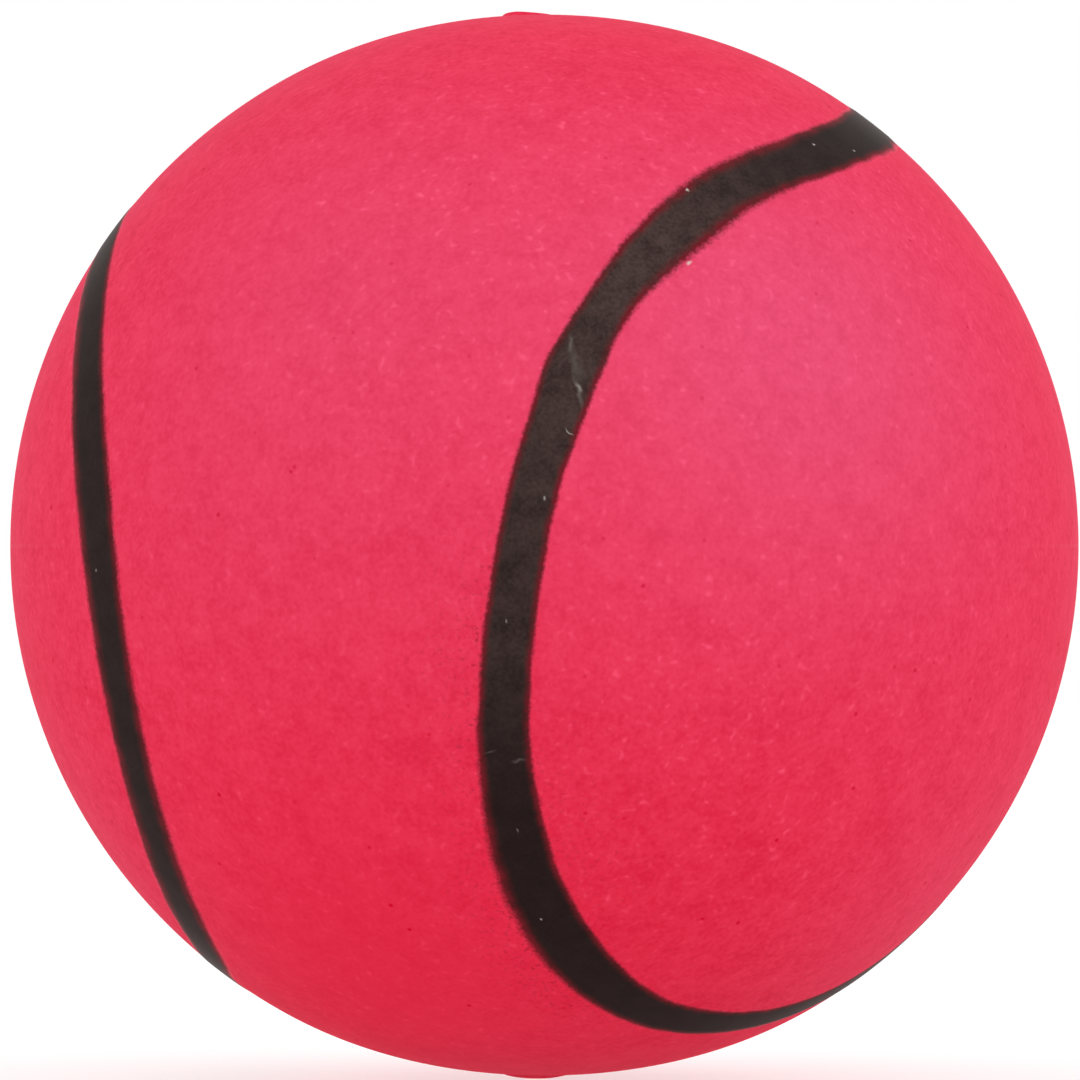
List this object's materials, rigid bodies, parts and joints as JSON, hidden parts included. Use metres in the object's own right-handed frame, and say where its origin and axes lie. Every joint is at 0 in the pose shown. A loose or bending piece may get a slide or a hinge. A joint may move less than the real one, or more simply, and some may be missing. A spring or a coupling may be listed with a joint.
{
  "type": "dog ball",
  "caption": "Hollow matt pink rubber fetch ball of tennis-ball size, cemented from half shells, with a black painted stripe on the tennis-ball curve.",
  "frame": {"origin": "centre of the ball", "axes": "+Z through the gate on the upper half, square to the cemented seam; -Y towards the front, where the stripe's waist shows; +X to the right"},
  "size_m": [0.063, 0.063, 0.063],
  "materials": {
    "shell_rubber": "matt moulded rubber with a fine pale bloom",
    "cement": "cured rubber cement, buffed flush outside",
    "stripe_paint": "matt flexible black paint"
  },
  "bodies": {
    "root": {"upper_half_shell": "shell_rubber", "lower_half_shell": "shell_rubber", "seam_cement": "cement", "painted_stripe": "stripe_paint"}
  },
  "joints": []
}
